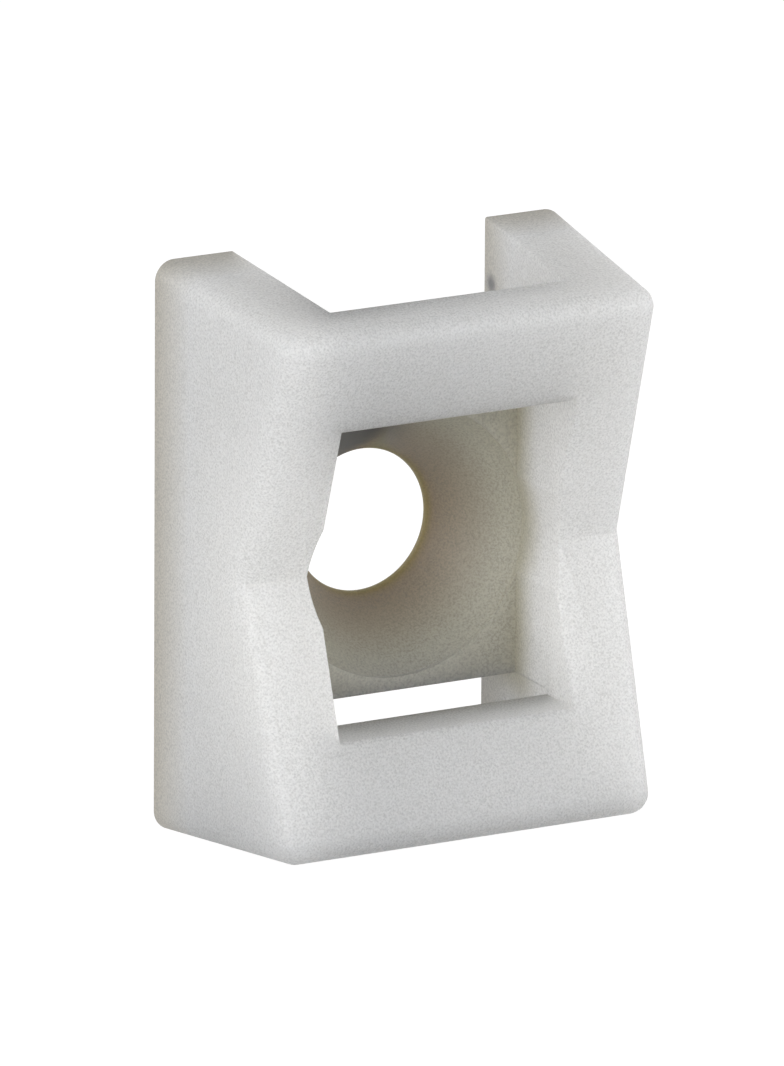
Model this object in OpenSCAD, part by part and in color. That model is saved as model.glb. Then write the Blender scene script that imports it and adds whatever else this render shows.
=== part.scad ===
// Screw-down saddle mount for a cable tie, one injection-moulded piece in natural nylon.
// Millimetres. X is the width, Z runs along the cable tie, the flat base lies in the plane Y = 0
// and the cradle opens towards -Y. The origin is where the screw-hole axis meets the base.

/* [Body] */
// Length of the body at the base
body_h = 22; // [21:0.5:30]
// Width of the body at the base
body_w = 17.1; // [16:0.1:24]
// Height from the base to the sharp crest of the saddle, before its edge is rounded
body_d = 9.4; // [9:0.1:12]
// Length of the body at the crests, shorter than at the base
crest_h = 20.15; // [19:0.05:20.5]
// Width of the body at the crests, narrower than at the base
crest_w = 15.35; // [14.5:0.05:15.8]
// Depth of the V-shaped cradle, from crest to valley
cradle_depth = 3.4; // [2:0.1:3.6]
// Radius on the outer edges
edge_r = 0.8; // [0.3:0.1:1.2]

/* [Strap passage] */
// Width of the window through the cradle
window_w = 9.8; // [9:0.1:9.9]
// Length of the window through the cradle
window_h = 11.85; // [11.65:0.05:13]
// Width of the end notches at the base
notch_w = 10.55; // [10.4:0.05:12]
// Draft angle of the notch walls
notch_draft = 3.1; // [1:0.1:3.4]
// Thickness of the base plate between the notches
plate_t = 3.4; // [3.3:0.05:3.8]
// Length of the base plate between the notches
plate_h = 11.5; // [11:0.1:11.6]
// Height of the strap passage under a crossbar at the window, measured from the base
passage_in = 5.9; // [5.2:0.1:6.2]
// Height of the strap passage under a crossbar at the end of the body, measured from the base
passage_out = 7; // [6.4:0.1:7.2]

/* [Screw hole] */
// Diameter of the screw hole
hole_d = 5.5; // [5:0.1:6]
// Straight length of the screw hole, from the base
hole_land = 0.3; // [0.2:0.05:0.4]
// Full angle of the countersink
sink_angle = 82; // [80:1:90]
// Diameter of the head bore, which the countersink opens into
head_bore_d = 10.5; // [10:0.1:10.7]

/* [Hidden] */
$fn = 96;
// How far the cutting shapes and the edge balls run on past the body
reach = 4;
// How far the side and end faces lean in for every millimetre away from the base
side_lean = (body_w - crest_w) / 2 / body_d;
end_lean = (body_h - crest_h) / 2 / body_d;
// Height of the valley over the base, and the slope of a cradle flank
valley_y = body_d - cradle_depth;
flank = cradle_depth / (crest_h / 2);
// Planes that the ball of the outer edges rolls on, one radius inside each face
ball_x0 = body_w / 2 - edge_r * sqrt(1 + side_lean * side_lean);
ball_z0 = body_h / 2 - edge_r * sqrt(1 + end_lean * end_lean);
ball_y0 = valley_y - edge_r * sqrt(1 + flank * flank);
crest_z = (ball_z0 - end_lean * ball_y0) / (1 + end_lean * flank);
// Slope of the underside of a crossbar, from the window to the end of the body
bar_lean = (passage_out - passage_in) / (body_h / 2 - end_lean * passage_out - window_h / 2);
// Where the countersink meets the head bore, measured from the base
sink_y = hole_land + (head_bore_d - hole_d) / 2 / tan(sink_angle / 2);

// Half the outer width one ball radius in, at a height y over the base
function ball_x(y) = ball_x0 - side_lean * y;

// Half the width of an end notch at a height y over the base
function notch_x(y) = notch_w / 2 - tan(notch_draft) * y;

// Height of the strap passage at a distance z from the middle
function passage_y(z) = passage_in + bar_lean * (z - window_h / 2);

// Two balls, left and right, at height y and station z
module ball_pair(y, z) {
  for (s = [-1, 1])
    translate([s * ball_x(y), -y, z])
      sphere(r = edge_r, $fn = 32);
}

// Upper half of the shell: its edge balls run on past the base and past the valley, then are cut square
module half_shell() {
  intersection() {
    hull() {
      ball_pair(ball_y0 + flank * crest_z, crest_z);
      ball_pair(ball_y0 - flank * reach, -reach);
      ball_pair(-reach, ball_z0 + end_lean * reach);
      ball_pair(-reach, -reach);
    }
    translate([-body_w, -2 * body_d, 0])
      cube([2 * body_w, 2 * body_d, body_h]);
  }
}

// The drafted saddle with its V-shaped cradle, still solid
module shell() {
  half_shell();
  mirror([0, 0, 1])
    half_shell();
}

// Window from the cradle down to the base plate
module window() {
  translate([-window_w / 2, -plate_t - body_d, -window_h / 2])
    cube([window_w, body_d, window_h]);
}

// Upper end notch: open at the back and the end, it carries the strap past the plate and under a crossbar
module end_notch() {
  intersection() {
    translate([0, 0, plate_h / 2])
      linear_extrude(height = body_h)
        polygon([
          [-notch_x(-reach), reach],
          [notch_x(-reach), reach],
          [notch_x(body_d), -body_d],
          [-notch_x(body_d), -body_d]
        ]);
    rotate([90, 0, 90])
      translate([0, 0, -body_w])
        linear_extrude(height = 2 * body_w)
          polygon([
            [reach + 1, plate_h / 2 - 1],
            [-passage_y(plate_h / 2 - 1), plate_h / 2 - 1],
            [-passage_y(body_h), body_h],
            [reach + 1, body_h]
          ]);
  }
}

// Screw hole, countersink and head bore, turned about the hole axis
module screw_bore() {
  rotate([90, 0, 0])
    rotate_extrude()
      polygon([
        [0, -1],
        [hole_d / 2, -1],
        [hole_d / 2, hole_land],
        [head_bore_d / 2, sink_y],
        [head_bore_d / 2, body_d + 1],
        [0, body_d + 1]
      ]);
}

// The whole moulding
module mount_body() {
  color([0.86, 0.85, 0.82])
    difference() {
      shell();
      window();
      end_notch();
      mirror([0, 0, 1])
        end_notch();
      screw_bore();
    }
}

mount_body();
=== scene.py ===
import math

import bmesh
import bpy
from mathutils import Matrix, Vector


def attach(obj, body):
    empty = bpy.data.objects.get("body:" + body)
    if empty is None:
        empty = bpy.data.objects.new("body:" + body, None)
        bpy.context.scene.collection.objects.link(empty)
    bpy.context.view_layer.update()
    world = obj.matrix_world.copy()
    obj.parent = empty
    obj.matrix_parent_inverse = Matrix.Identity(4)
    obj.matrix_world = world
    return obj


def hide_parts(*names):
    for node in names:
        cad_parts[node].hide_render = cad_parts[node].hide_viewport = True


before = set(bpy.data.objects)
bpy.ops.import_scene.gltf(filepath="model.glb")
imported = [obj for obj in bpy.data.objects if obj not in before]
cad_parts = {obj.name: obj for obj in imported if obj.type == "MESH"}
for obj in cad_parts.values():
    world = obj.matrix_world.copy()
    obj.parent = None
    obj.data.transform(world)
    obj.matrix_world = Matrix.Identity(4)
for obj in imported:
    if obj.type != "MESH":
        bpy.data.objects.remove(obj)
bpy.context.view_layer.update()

MM = 0.001

# A screw-down saddle mount for a cable tie, one moulding in natural nylon. Its sizes are in
# millimetres, as the drawing gives them. X is the width, Z runs along the cable tie, the base
# lies in the plane Y = 0 and the cradle opens towards -Y.
BODY_H, BODY_W, BODY_D = 22.0, 17.1, 9.4
CREST_H, CREST_W = 20.15, 15.35
CRADLE_DEPTH = 3.4
EDGE_R = 0.8
WINDOW_W, WINDOW_H = 9.8, 11.85
NOTCH_W, NOTCH_DRAFT = 10.55, 3.1
PLATE_T, PLATE_H = 3.4, 11.5
PASSAGE_IN, PASSAGE_OUT = 5.9, 7.0
HOLE_D, HOLE_LAND, SINK_ANGLE = 5.5, 0.3, 82.0
HEAD_BORE_D = 10.5

# Radius that the mould leaves on sharp edges, and on the crossbars' front edges at the window
EDGE_BREAK = 0.1
LIP_ROUND = 0.35
# Facets over the arc of an outer edge, over a small round and round the screw hole
ARC_STEPS = 14
ROUND_STEPS = 3
BORE_STEPS = 192
# Points of the blank closer than this are one, and faces that bend less than this are joined
SAME_POINT = 1e-4
FLAT_ANGLE = 0.2
# Edges that bend outwards by more than the first angle get a round, others by more than the
# second stay a crease
SHARP_ANGLE, CREASE_ANGLE = 25, 14

# How far the side and end faces lean in for each millimetre away from the base
SIDE_LEAN = (BODY_W - CREST_W) / 2 / BODY_D
END_LEAN = (BODY_H - CREST_H) / 2 / BODY_D
# Height of the valley over the base, and slopes of a cradle flank and of a crossbar's underside
VALLEY_Y = BODY_D - CRADLE_DEPTH
FLANK = CRADLE_DEPTH / (CREST_H / 2)
BAR_LEAN = (PASSAGE_OUT - PASSAGE_IN) / (BODY_H / 2 - END_LEAN * PASSAGE_OUT - WINDOW_H / 2)
# Height over the base where the countersink meets the head bore
SINK_Y = HOLE_LAND + (HEAD_BORE_D - HOLE_D) / 2 / math.tan(math.radians(SINK_ANGLE / 2))

# The inputs of the Geometry Nodes that take the cores of the mould out
CORE_SIZES = {
    "Window Width": WINDOW_W,
    "Window Length": WINDOW_H,
    "Plate Thickness": PLATE_T,
    "Plate Length": PLATE_H,
    "Body Height": BODY_D,
    "Body Length": BODY_H,
    "Notch Width": NOTCH_W,
    "Notch Draft": math.tan(math.radians(NOTCH_DRAFT)),
    "Passage Height": PASSAGE_IN,
    "Passage Slope": BAR_LEAN,
    "Hole Radius": HOLE_D / 2,
    "Hole Land": HOLE_LAND,
    "Head Radius": HEAD_BORE_D / 2,
    "Sink Height": SINK_Y,
    "Sharp Angle": math.radians(SHARP_ANGLE),
    "Crease Angle": math.radians(CREASE_ANGLE),
    "Small Break": EDGE_BREAK / LIP_ROUND,
}

# How far the cores run on behind the base, and to what share of the saddle's height in front
BEHIND = 1.0
ROOM = 1.2
# Thin steps stand beside the slots, where the walls of the window and of a notch nearly meet.
# Their edges aren't rounded. They lie about these shares of the window's width and length off
# the middle, to within STEP_X_SIZE and STEP_Z_SIZE, from the base to just past the passage.
STEP_X, STEP_X_SIZE = 0.51, 0.22
STEP_Z, STEP_Z_SIZE = 0.493, 0.16
STEP_PAST = 0.05
# A crossbar's front edge lies further than this in front of its passage
LIP_PAST = 0.3
# Edges on top of the plate are the head bore's rim up to this share of its radius. A point lies
# on a plane if it is within NEAR of it.
RIM_REACH = 1.03
NEAR = 0.02

# What the nodes work out of those inputs and of a point's place x, y, z: a name, an operation
# and its terms, each of them a name or a number
CORE_SUMS = [
    # window: a box from the top of the base plate out through the cradle
    ("room", "MULTIPLY", "Body Height", ROOM),
    ("half room", "MULTIPLY", "room", -0.5),
    ("window y", "SUBTRACT", "half room", "Plate Thickness"),
    # end notch: a unit cube whose corners go to the drafted walls and the sloping crossbar
    ("start", "MULTIPLY", "Plate Length", 0.5),
    ("length", "MULTIPLY", "Body Length", 0.5),
    ("share along", "ADD", "z", 0.5),
    ("notch z", "MULTIPLY_ADD", "share along", "length", "start"),
    ("window end", "MULTIPLY", "Window Length", 0.5),
    ("past window", "SUBTRACT", "notch z", "window end"),
    ("passage", "MULTIPLY_ADD", "Passage Slope", "past window", "Passage Height"),
    ("under bar", "MULTIPLY", "passage", -1.0),
    ("is front", "LESS_THAN", "y", 0.0),
    ("is back", "SUBTRACT", 1.0, "is front"),
    ("back y", "MULTIPLY", "is back", BEHIND),
    ("notch y", "MULTIPLY_ADD", "is front", "under bar", "back y"),
    ("lean", "MULTIPLY", "notch y", "Notch Draft"),
    ("notch width", "MULTIPLY_ADD", "lean", 2.0, "Notch Width"),
    ("notch x", "MULTIPLY", "x", "notch width"),
    # screw hole, countersink and head bore: a tube of four rings, numbered from the base
    ("from base", "ADD", "z", 1.5),
    ("ring", "ROUND", "from base"),
]
for number, (wide, deep) in enumerate((
    ("Hole Radius", -BEHIND), ("Hole Radius", "Hole Land"),
    ("Head Radius", "Sink Height"), ("Head Radius", "room"),
)):
    CORE_SUMS += [
        ("is ring", "COMPARE", "ring", number, 0.5),
        ("radius", "MULTIPLY_ADD", "is ring", wide, "radius"),
        ("depth", "MULTIPLY_ADD", "is ring", deep, "depth"),
    ]
CORE_SUMS += [
    ("bore x", "MULTIPLY", "x", "radius"),
    ("bore y", "MULTIPLY", "depth", -1.0),
    ("bore z", "MULTIPLY", "y", "radius"),
    # edges that stay as they are: of the thin steps, of the crossbars' inner lips and of the
    # head bore's rim
    ("off x", "ABSOLUTE", "x"),
    ("off z", "ABSOLUTE", "z"),
    ("step x", "MULTIPLY", "Window Width", STEP_X),
    ("step z", "MULTIPLY", "Window Length", STEP_Z),
    ("near step x", "COMPARE", "off x", "step x", STEP_X_SIZE),
    ("near step z", "COMPARE", "off z", "step z", STEP_Z_SIZE),
    ("step y", "SUBTRACT", -STEP_PAST, "Passage Height"),
    ("behind step y", "GREATER_THAN", "y", "step y"),
    ("near step", "MULTIPLY", "near step x", "near step z"),
    ("on step", "MULTIPLY", "near step", "behind step y"),
    ("lip y", "MULTIPLY", "Passage Height", -1.0),
    ("at lip y", "COMPARE", "y", "lip y", NEAR),
    ("at window end", "COMPARE", "off z", "window end", NEAR),
    ("on lip", "MULTIPLY", "at lip y", "at window end"),
    ("plate y", "MULTIPLY", "Plate Thickness", -1.0),
    ("at plate y", "COMPARE", "y", "plate y", NEAR),
    ("rim z", "MULTIPLY", "Head Radius", RIM_REACH),
    ("within rim", "LESS_THAN", "off z", "rim z"),
    ("on rim", "MULTIPLY", "at plate y", "within rim"),
    ("kept", "MAXIMUM", "on step", "on lip"),
    ("kept", "MAXIMUM", "kept", "on rim"),
    ("not kept", "SUBTRACT", 1.0, "kept"),
    # of the others the sharp ones are rounded, and the crossbars' front edges most
    ("sharp", "GREATER_THAN", "outward", "Sharp Angle"),
    ("rounded", "MULTIPLY", "sharp", "not kept"),
    ("front y", "SUBTRACT", -LIP_PAST, "Passage Height"),
    ("before front y", "LESS_THAN", "y", "front y"),
    ("on front", "MULTIPLY", "at window end", "before front y"),
    ("share of round", "MAXIMUM", "on front", "Small Break"),
    ("weight", "MULTIPLY", "rounded", "share of round"),
    # and what still bends is a crease in the shading
    ("bent", "GREATER_THAN", "bend", "Crease Angle"),
    ("not rounded", "SUBTRACT", 1.0, "rounded"),
    ("crease", "MULTIPLY", "bent", "not rounded"),
    ("is crease", "GREATER_THAN", "crease", 0.5),
]

# Points and sizes that the nodes put together, X, Y and Z
CORE_POINTS = (
    ("window size", "Window Width", "room", "Window Length"),
    ("window place", 0.0, "window y", 0.0),
    ("notch place", "notch x", "notch y", "notch z"),
    ("bore place", "bore x", "bore y", "bore z"),
)

# Nylon. Spark-eroded grain is about 0.04 mm across and is drawn at twice that, or it would fall
# between pixels. Flow clouds from the melt are a few millimetres long.
GRAIN_SIZE, GRAIN_DETAIL, GRAIN_ROUGHNESS = 0.08, 2.0, 0.6
CLOUD_SIZE, CLOUD_DETAIL, CLOUD_ROUGHNESS = 5.0, 3.0, 0.5
# The grain's noise is dark up to the first value and bright from the second. Its depth is in
# millimetres, and its relief is the share of that depth that shows.
GRAIN_DARK, GRAIN_BRIGHT = 0.30, 0.62
GRAIN_DEPTH, GRAIN_RELIEF = 0.02, 0.35
SKIN_ROUGHNESS, NYLON_IOR = 0.54, 1.53
# How far light spreads in the nylon in millimetres, and how much less of it in green and blue
LIGHT_REACH, LIGHT_SHARES = 16.0, (1.0, 0.97, 0.92)
# How much of the light goes into the nylon where it is clear, and where painted shade, the painted
# shadow and the dark spot darken it
CLEAR, DARKENED = 1.0, 0.3
# Middle of the painted shadow above the screw hole, under the upper crossbar, and of a small dark
# spot on the right wall of the upper notch
MARKS = {"from the bar's shadow": (-1.2, -1.2, 3.9), "from the dark spot": (5.24, -0.65, 8.55)}

# Where each tint lies: a name, what it goes by, the millimetres where it starts and where it is
# full, how strong it gets there, and how it fades
TINT_PLACES = (
    ("off the back", "y", 0.0, -0.06, 1.0, "LINEAR"),
    # painted shade along the edges of the base, where less light reaches the back
    ("at the base", "y", -2.4, 0.0, 0.75, "LINEAR"),
    # the cradle, where painted shade is laid
    ("down in the window", "y", -5.2, -3.2, 1.0, "SMOOTHSTEP"),
    ("between the walls", "across", 6.2, 5.4, 1.0, "SMOOTHSTEP"),
    ("between the bars", "along", 7.4, 5.9, 1.0, "SMOOTHSTEP"),
    # round the screw hole, where painted shade is laid
    ("by the hole", "from axis", 5.5, 2.7, 1.0, "LINEAR"),
    ("at the rim", "from axis", 4.8, 2.7, 1.0, "LINEAR"),
    # the painted shadow under the upper crossbar, above the hole
    ("in the bar's shadow", "from the bar's shadow", 3.3, 1.0, 1.0, "SMOOTHSTEP"),
    ("off the plate's end", "along", 5.74, 5.5, 1.0, "LINEAR"),
    # a small dark spot on the right wall of the upper notch
    ("on the dark spot", "from the dark spot", 0.6, 0.1, 0.9, "SMOOTHSTEP"),
)
TINT_SUMS = (
    # painted shade at the base, kept off the back face
    ("base shade and tint", "MULTIPLY", "at the base", "off the back"),
    # painted shade in the cradle, kept off the back face
    ("cavity", "MULTIPLY", "down in the window", "between the walls"),
    ("cavity", "MULTIPLY", "cavity", "between the bars"),
    ("cavity", "MULTIPLY", "cavity", "off the back"),
    # the painted shadow, kept off the plate's end
    ("shadow above the hole", "MULTIPLY", "in the bar's shadow", "off the plate's end"),
    # the painted shade round the hole, the painted shadow above it, the painted shade at the base
    # and the dark spot let less light into the nylon
    ("darkened", "MAXIMUM", "by the hole", "shadow above the hole"),
    ("darkened", "MULTIPLY", "darkened", "cavity"),
    ("darkened", "MAXIMUM", "darkened", "base shade and tint"),
    ("darkened", "MAXIMUM", "darkened", "on the dark spot"),
)
# The tints, laid over one another in turn: a name, its share, what lies under it and the tint
TINTS = (
    ("milk", "cloud", "#DADAD8", "#E3E3E2"),
    # painted shade darkens the edges of the base a little, where less light reaches the back, over
    # a faint yellow tint
    ("milk", "base shade and tint", "milk", "#A89C80"),
    # down in the cradle painted shade makes the nylon greyer, and round the hole's rim painted
    # shade turns it brown
    ("brown", "at the rim", "#AFAC9D", "#6C501A"),
    # a painted shadow lies above the hole, under the upper crossbar
    ("brown", "shadow above the hole", "brown", "#141105"),
    # the painted shade laid over the cradle
    ("milk", "cavity", "milk", "brown"),
    # the small dark spot on the right wall of the upper notch
    ("milk", "on the dark spot", "milk", "#46474C"),
    ("grains", "bright grain", "#D4D4D4", "#FFFFFF"),
)

# Studio. The paper's grey in the light of the lamps, its grey where the camera sees it, and the
# glow that makes it white there. FLOOR_SIZE is in metres.
PAPER, PAPER_SEEN, PAPER_GLOW = "#B4B4B4", "#6E6E6E", 0.98
FLOOR_SIZE, FLOOR_STEPS = 1.5, 96
TENT_LIGHT = 0.08
# Each lamp's direction from the part and power in watts. Most of the light comes from in front,
# left and right. Their distance and the length of their sides are in metres.
LAMPS = (
    ("side_left", (-1.0, -0.1, 0.2), 1.1),
    ("front_left", (-0.7, -0.7, 0.2), 2.45),
    ("front_right", (0.7, -0.7, 0.2), 2.1),
    ("side_right", (1.0, -0.1, 0.2), 0.9),
    ("high_left", (-0.7, -0.1, 0.7), 0.15),
    ("behind", (-0.6, 0.8, 0.3), 0.8),
)
LAMP_DISTANCE, LAMP_SIZE = 0.6, 0.35

# Camera that fits the corners of the part in the photo: degrees round the part, above it and
# of roll, then distance, aim and shift of the aim in millimetres, focal length and height of
# the photo in pixels, sensor in millimetres and clipping in metres
VIEW_TURN, VIEW_RISE, VIEW_ROLL = -28.2454, 16.2465, 0.3725
VIEW_DISTANCE, VIEW_AIM, VIEW_SHIFT = 600, (0, -4, 0), (-0.5928, 0.4442)
FOCAL_PIXELS, PHOTO_PIXELS, SENSOR = 16202.9, 1066, 36.0
CLIP_NEAR, CLIP_FAR = 0.01, 10


def linear(code):
    """An sRGB hex colour as the linear values that Blender's sockets take."""
    parts = [int(code[i : i + 2], 16) / 255 for i in (1, 3, 5)]
    return tuple(c / 12.92 if c <= 0.04045 else ((c + 0.055) / 1.055) ** 2.4 for c in parts) + (1,)


def add(tree, kind, inputs=None, **settings):
    """Adds a node, gives it its settings, and fills or links its inputs by name or number."""
    n = tree.nodes.new(kind)
    for key, value in settings.items():
        setattr(n, key, value)
    for key, value in (inputs or {}).items():
        if isinstance(value, bpy.types.NodeSocket):
            tree.links.new(value, n.inputs[key])
        else:
            n.inputs[key].default_value = value
    return n


def work_out(tree, known, kind, rows):
    """Adds a node of one kind for each row of a table, and files its result under the row's name.

    A row is a name, the node's settings and its terms, each a name that is known or a value.
    """
    for name, settings, *terms in rows:
        inputs = {i: known.get(term, term) for i, term in enumerate(terms)}
        known[name] = add(tree, kind, inputs, **settings).outputs[0]


def rolled_quarter(bm):
    """Side, end and cradle flank of one quarter, with a ball rolled along their edges."""
    side = Vector((1, -SIDE_LEAN, 0))
    end = Vector((0, -END_LEAN, 1))
    flank = Vector((0, -1, -FLANK))
    reach = [BODY_W / 2, BODY_H / 2, VALLEY_Y]
    rows = Matrix([side.normalized(), end.normalized(), flank.normalized()])
    inset = Vector([d / n.length - EDGE_R for d, n in zip(reach, (side, end, flank))])
    ball = rows.inverted() @ inset
    side_out, end_out, flank_out = (row.copy() for row in rows)

    def slide(p, way, axis):
        """The point p moved along way until its coordinate on that axis is nought."""
        return p - way * (p[axis] / way[axis])

    patch = []
    for i in range(ARC_STEPS + 1):
        t = i / ARC_STEPS
        left, right = side_out.slerp(end_out, t), side_out.slerp(flank_out, t)
        patch.append([ball + EDGE_R * left.slerp(right, j / i if i else 0) for j in range(i + 1)])
    vert = bm.verts.new
    upright = side_out.cross(end_out)
    downhill = side_out.cross(flank_out)
    across = Vector((1, 0, 0))
    corner = [[vert(p) for p in row] for row in patch]
    foot = [vert(slide(row[0], upright, 1)) for row in patch]
    valley = [vert(slide(row[-1], downhill, 2)) for row in patch]
    crest = [vert(slide(p, across, 0)) for p in patch[-1]]
    side_mid = vert(Vector((BODY_W / 2, 0, 0)))
    end_mid = vert(Vector((0, 0, BODY_H / 2)))
    base_mid = vert(Vector((0, 0, 0)))
    valley_mid = vert(Vector((0, -VALLEY_Y, 0)))

    faces = []
    for i in range(ARC_STEPS):
        for j in range(i + 1):
            faces.append((corner[i][j], corner[i + 1][j], corner[i + 1][j + 1]))
            if j < i:
                faces.append((corner[i][j], corner[i + 1][j + 1], corner[i][j + 1]))
        faces.append((corner[i][0], foot[i], foot[i + 1], corner[i + 1][0]))
        faces.append((corner[i][i], corner[i + 1][i + 1], valley[i + 1], valley[i]))
        faces.append((corner[-1][i], crest[i], crest[i + 1], corner[-1][i + 1]))
    faces.append((corner[0][0], valley[0], side_mid, foot[0]))
    faces.append((corner[-1][0], foot[-1], end_mid, crest[0]))
    faces.append((corner[-1][-1], crest[-1], valley_mid, valley[-1]))
    faces.append((*foot, end_mid, base_mid, side_mid))
    for corners in faces:
        bm.faces.new(corners)


def saddle_blank():
    """The whole saddle, still solid, as a mesh in millimetres."""
    bm = bmesh.new()
    rolled_quarter(bm)
    for flip in (Vector((-1, 1, 1)), Vector((1, 1, -1))):
        copy = bmesh.ops.duplicate(bm, geom=bm.verts[:] + bm.edges[:] + bm.faces[:])["geom"]
        bmesh.ops.scale(bm, vec=flip, verts=[g for g in copy if isinstance(g, bmesh.types.BMVert)])
    bmesh.ops.remove_doubles(bm, verts=bm.verts, dist=SAME_POINT)
    bmesh.ops.recalc_face_normals(bm, faces=bm.faces)
    bmesh.ops.dissolve_limit(
        bm, angle_limit=math.radians(FLAT_ANGLE), verts=bm.verts, edges=bm.edges,
    )
    mesh = bpy.data.meshes.new("saddle_blank")
    bm.to_mesh(mesh)
    bm.free()
    return mesh


def core_tree(finish):
    """Geometry Nodes that take the cores of the mould out of the saddle, sized by named inputs."""
    tree = bpy.data.node_groups.new("Cores of the mould", "GeometryNodeTree")
    face = tree.interface
    face.new_socket("Geometry", in_out="INPUT", socket_type="NodeSocketGeometry")
    for name in CORE_SIZES:
        face.new_socket(name, in_out="INPUT", socket_type="NodeSocketFloat")
    face.new_socket("Geometry", in_out="OUTPUT", socket_type="NodeSocketGeometry")

    given = add(tree, "NodeGroupInput").outputs
    place = add(tree, "GeometryNodeInputPosition").outputs[0]
    spot = add(tree, "ShaderNodeSeparateXYZ", {0: place}).outputs
    angles = add(tree, "GeometryNodeInputMeshEdgeAngle").outputs
    known = {name: given[name] for name in CORE_SIZES}
    known |= {"x": spot["X"], "y": spot["Y"], "z": spot["Z"], "radius": 0.0, "depth": 0.0}
    known |= {"bend": angles["Unsigned Angle"], "outward": angles["Signed Angle"]}
    sums = [(name, {"operation": operation}, *terms) for name, operation, *terms in CORE_SUMS]
    work_out(tree, known, "ShaderNodeMath", sums)
    points = [(name, {}, *terms) for name, *terms in CORE_POINTS]
    work_out(tree, known, "ShaderNodeCombineXYZ", points)

    box = add(tree, "GeometryNodeMeshCube", {"Size": known["window size"]}).outputs["Mesh"]
    window = add(
        tree, "GeometryNodeTransform", {"Geometry": box, "Translation": known["window place"]},
    ).outputs[0]
    cube = add(tree, "GeometryNodeMeshCube", {"Size": (1, 1, 1)}).outputs["Mesh"]
    notch = add(
        tree, "GeometryNodeSetPosition", {"Geometry": cube, "Position": known["notch place"]},
    ).outputs[0]
    other_notch = add(
        tree, "GeometryNodeTransform", {"Geometry": notch, "Rotation": (0, math.pi, 0)},
    ).outputs[0]
    tube = add(
        tree, "GeometryNodeMeshCylinder",
        {"Vertices": BORE_STEPS, "Side Segments": 3, "Radius": 1.0, "Depth": 3.0},
    ).outputs["Mesh"]
    bore = add(
        tree, "GeometryNodeSetPosition", {"Geometry": tube, "Position": known["bore place"]},
    ).outputs[0]

    shape = given["Geometry"]
    for core in (window, notch, other_notch, bore):
        shape = add(
            tree, "GeometryNodeMeshBoolean", {"Mesh 1": shape, "Mesh 2": core},
            operation="DIFFERENCE", solver="EXACT",
        ).outputs["Mesh"]
    for mark, value, kind in (
        ("bevel_weight_edge", "weight", "FLOAT"), ("sharp_edge", "is crease", "BOOLEAN"),
    ):
        shape = add(
            tree, "GeometryNodeStoreNamedAttribute",
            {"Geometry": shape, "Name": mark, "Value": known[value]}, data_type=kind, domain="EDGE",
        ).outputs[0]
    for kind, inputs in (
        ("GeometryNodeSetShadeSmooth", {"Shade Smooth": True}),
        ("GeometryNodeRealizeInstances", {}),
        ("GeometryNodeSetMaterial", {"Material": finish}),
    ):
        shape = add(tree, kind, {"Geometry": shape, **inputs}).outputs[0]
    add(tree, "NodeGroupOutput", {"Geometry": shape})
    return tree


def plain_mesh(obj, name):
    """The object's mesh with its modifiers applied, as new data."""
    graph = bpy.context.evaluated_depsgraph_get()
    graph.update()
    mesh = bpy.data.meshes.new_from_object(obj.evaluated_get(graph), depsgraph=graph)
    mesh.name = name
    return mesh


def moulding(finish):
    """The finished moulding: blank, cores out, edges rounded, then from millimetres to metres."""
    obj = bpy.data.objects.new("nylon_saddle", saddle_blank())
    bpy.context.scene.collection.objects.link(obj)
    cores = obj.modifiers.new("Cores of the mould", "NODES")
    cores.node_group = core_tree(finish)
    for item in cores.node_group.interface.items_tree:
        if item.in_out == "INPUT" and item.name in CORE_SIZES:
            cores[item.identifier] = CORE_SIZES[item.name]
    obj.data = plain_mesh(obj, "cut_saddle")
    obj.modifiers.clear()

    rounds = obj.modifiers.new("Rounded edges", "BEVEL")
    rounds.limit_method = "WEIGHT"
    rounds.offset_type = "OFFSET"
    rounds.width = LIP_ROUND
    rounds.segments = ROUND_STEPS
    rounds.use_clamp_overlap = False
    rounds.miter_outer = "MITER_SHARP"
    normals = obj.modifiers.new("Flat faces stay flat", "WEIGHTED_NORMAL")
    normals.keep_sharp = True
    obj.data = plain_mesh(obj, "nylon_saddle")
    obj.modifiers.clear()
    obj.data.transform(Matrix.Scale(MM, 4))
    return obj


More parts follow.
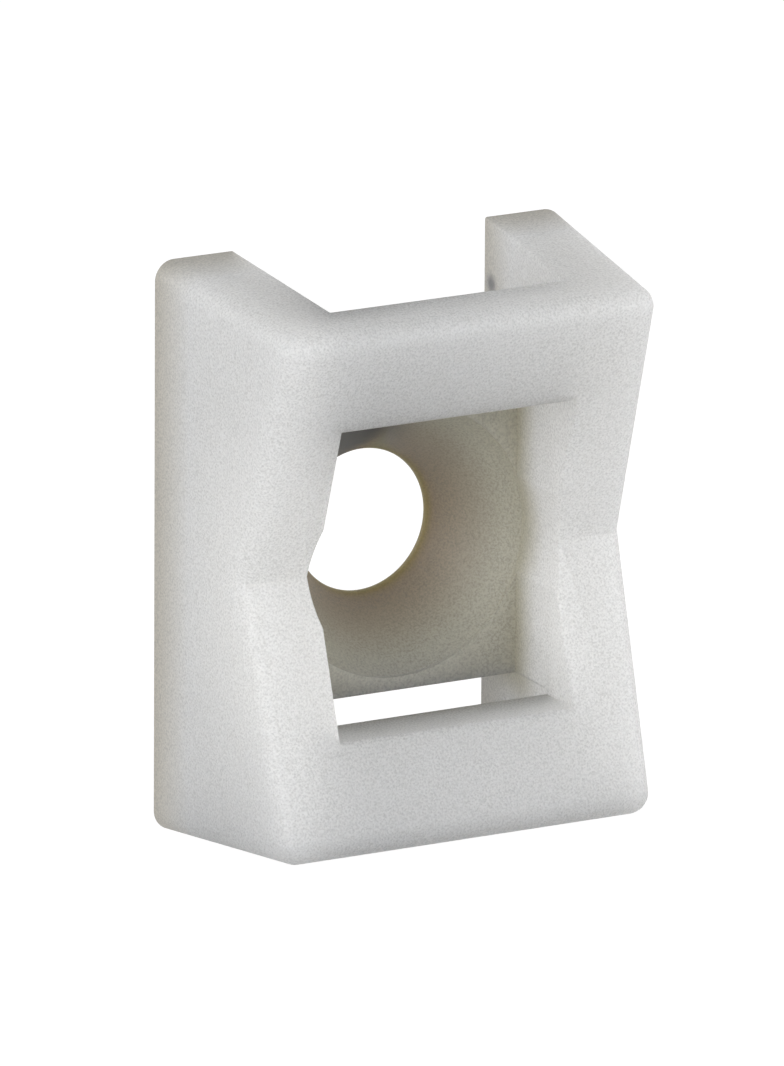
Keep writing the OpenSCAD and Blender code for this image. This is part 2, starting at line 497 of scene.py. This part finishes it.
def natural_nylon():
    """Polyamide 6.6, uncoloured, injection-moulded in a spark-eroded mould.

    The eye gets a milky, slightly grey white that light passes through, so that shadows on it are
    soft. Its even matt skin has a fine grain. Painted shade makes it greyer in the cradle and brown
    round the screw hole, and darker and a little yellower along the edges of the base, and less
    light is let into the nylon there. A painted shadow lies above the hole, under the upper
    crossbar, and a small dark spot on the right wall of the upper notch.
    """
    mat = bpy.data.materials.new("natural_nylon_66")
    mat.use_nodes = True
    tree = mat.node_tree
    tree.nodes.clear()
    where = add(tree, "ShaderNodeTexCoord").outputs["Object"]
    spot = add(tree, "ShaderNodeSeparateXYZ", {0: where}).outputs
    off_axis = add(tree, "ShaderNodeCombineXYZ", {"X": spot["X"], "Z": spot["Z"]}).outputs[0]
    far = add(tree, "ShaderNodeVectorMath", {0: off_axis}, operation="LENGTH").outputs["Value"]
    known = {"y": spot["Y"], "from axis": far}
    for name, way in (("across", "X"), ("along", "Z")):
        known[name] = add(tree, "ShaderNodeMath", {0: spot[way]}, operation="ABSOLUTE").outputs[0]
    for name, middle in MARKS.items():
        known[name] = add(
            tree, "ShaderNodeVectorMath", {0: where, 1: tuple(c * MM for c in middle)},
            operation="DISTANCE",
        ).outputs["Value"]
    for name, size, detail, roughness in (
        ("grain", GRAIN_SIZE, GRAIN_DETAIL, GRAIN_ROUGHNESS),
        ("cloud", CLOUD_SIZE, CLOUD_DETAIL, CLOUD_ROUGHNESS),
    ):
        known[name] = add(
            tree, "ShaderNodeTexNoise",
            {"Vector": where, "Scale": 1 / (size * MM), "Detail": detail, "Roughness": roughness},
        ).outputs["Fac"]

    places = [
        (name, {"interpolation_type": fade}, source, start * MM, end * MM, 0.0, most)
        for name, source, start, end, most, fade in TINT_PLACES
    ]
    places.append(("bright grain", {}, "grain", GRAIN_DARK, GRAIN_BRIGHT))
    work_out(tree, known, "ShaderNodeMapRange", places)
    sums = [(name, {"operation": operation}, *terms) for name, operation, *terms in TINT_SUMS]
    work_out(tree, known, "ShaderNodeMath", sums)
    clear = add(
        tree, "ShaderNodeMapRange", {"Value": known["darkened"], "To Min": CLEAR, "To Max": DARKENED},
    ).outputs[0]

    # a colour mix has its colours at sockets 6 and 7 and its result at 2
    for name, share, under, tint in TINTS:
        colours = [linear(c) if c.startswith("#") else known[c] for c in (under, tint)]
        known[name] = add(
            tree, "ShaderNodeMix", {0: known[share], 6: colours[0], 7: colours[1]},
            data_type="RGBA",
        ).outputs[2]
    tone = add(
        tree, "ShaderNodeMix", {0: 1.0, 6: known["milk"], 7: known["grains"]},
        data_type="RGBA", blend_type="MULTIPLY",
    ).outputs[2]
    bump = add(
        tree, "ShaderNodeBump",
        {"Height": known["grain"], "Strength": GRAIN_RELIEF, "Distance": GRAIN_DEPTH * MM},
    ).outputs[0]
    shader = add(
        tree, "ShaderNodeBsdfPrincipled",
        {"Base Color": tone, "Roughness": SKIN_ROUGHNESS, "IOR": NYLON_IOR, "Normal": bump,
         "Subsurface Weight": clear, "Subsurface Radius": LIGHT_SHARES,
         "Subsurface Scale": LIGHT_REACH * MM, "Subsurface Anisotropy": 0.0},
        subsurface_method="RANDOM_WALK",
    ).outputs[0]
    add(tree, "ShaderNodeOutputMaterial", {"Surface": shader})
    return mat


def sees_white(tree):
    """1 for the rays that see the backdrop white: from the camera, reflected or let through."""
    path = add(tree, "ShaderNodeLightPath").outputs
    seen = path["Is Camera Ray"]
    for ray in ("Is Glossy Ray", "Is Transmission Ray"):
        seen = add(tree, "ShaderNodeMath", {0: seen, 1: path[ray]}, operation="MAXIMUM").outputs[0]
    return seen


def studio_white():
    """Matt white paper: white to the camera, a little greyer where the part shades it."""
    mat = bpy.data.materials.new("white_paper")
    mat.use_nodes = True
    tree = mat.node_tree
    tree.nodes.clear()
    paper = add(tree, "ShaderNodeBsdfDiffuse", {"Color": linear(PAPER)}).outputs[0]
    shaded = add(tree, "ShaderNodeBsdfDiffuse", {"Color": linear(PAPER_SEEN)}).outputs[0]
    glow = add(
        tree, "ShaderNodeEmission", {"Color": linear("#FFFFFF"), "Strength": PAPER_GLOW},
    ).outputs[0]
    white = add(tree, "ShaderNodeAddShader", {0: shaded, 1: glow}).outputs[0]
    both = add(tree, "ShaderNodeMixShader", {0: sees_white(tree), 1: paper, 2: white}).outputs[0]
    add(tree, "ShaderNodeOutputMaterial", {"Surface": both})
    return mat


def paper_floor():
    """A wide round sheet of white paper under the part."""
    bm = bmesh.new()
    bmesh.ops.create_circle(bm, cap_ends=True, segments=FLOOR_STEPS, radius=FLOOR_SIZE)
    mesh = bpy.data.meshes.new("paper_floor")
    bm.to_mesh(mesh)
    bm.free()
    mesh.transform(Matrix.Translation((0, 0, -BODY_H / 2 * MM)))
    mesh.materials.append(studio_white())
    floor = bpy.data.objects.new("paper_floor", mesh)
    bpy.context.scene.collection.objects.link(floor)


def light_tent():
    """The tent round the part: white where it is seen, and only a little light of its own."""
    world = bpy.data.worlds.new("light_tent")
    bpy.context.scene.world = world
    world.use_nodes = True
    tree = world.node_tree
    tree.nodes.clear()
    tent, white = (
        add(tree, "ShaderNodeBackground", {"Color": linear("#FFFFFF"), "Strength": s}).outputs[0]
        for s in (TENT_LIGHT, 1.0)
    )
    both = add(tree, "ShaderNodeMixShader", {0: sees_white(tree), 1: tent, 2: white}).outputs[0]
    add(tree, "ShaderNodeOutputWorld", {"Surface": both})


def softbox(name, place, watts):
    """A square soft lamp that faces the part."""
    data = bpy.data.lights.new(name, "AREA")
    data.shape = "SQUARE"
    data.size = LAMP_SIZE
    data.energy = watts
    obj = bpy.data.objects.new(name, data)
    obj.location = place
    obj.rotation_mode = "QUATERNION"
    obj.rotation_quaternion = place.to_track_quat("Z", "Y")
    obj.visible_camera = False
    bpy.context.scene.collection.objects.link(obj)


def studio():
    """Paper floor, light tent and lamps."""
    bpy.context.scene.view_settings.view_transform = "Standard"
    paper_floor()
    light_tent()
    for name, way, watts in LAMPS:
        softbox(name, Vector(way).normalized() * LAMP_DISTANCE, watts)


def camera():
    """Long lens, a little above and to the left of the part."""
    azimuth, elevation, roll = (math.radians(a) for a in (VIEW_TURN, VIEW_RISE, VIEW_ROLL))
    back = Vector((
        math.sin(azimuth) * math.cos(elevation),
        -math.cos(azimuth) * math.cos(elevation),
        math.sin(elevation),
    ))
    right = (-back).cross(Vector((0, 0, 1))).normalized()
    up = right.cross(-back)
    across = right * math.cos(roll) + up * math.sin(roll)
    upward = up * math.cos(roll) - right * math.sin(roll)
    aim = Vector(VIEW_AIM) + across * VIEW_SHIFT[0] + upward * VIEW_SHIFT[1]
    place = (aim + back * VIEW_DISTANCE) * MM
    data = bpy.data.cameras.new("camera")
    data.sensor_fit = "AUTO"
    data.sensor_width = SENSOR
    data.lens = SENSOR * FOCAL_PIXELS / PHOTO_PIXELS
    data.clip_start, data.clip_end = CLIP_NEAR, CLIP_FAR
    obj = bpy.data.objects.new("camera", data)
    bpy.context.scene.collection.objects.link(obj)
    turn = Matrix((across, upward, back)).transposed().to_4x4()
    obj.matrix_world = Matrix.Translation(place) @ turn
    bpy.context.scene.camera = obj


camera()
studio()
body = moulding(natural_nylon())
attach(body, "root")
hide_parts("mount_body")
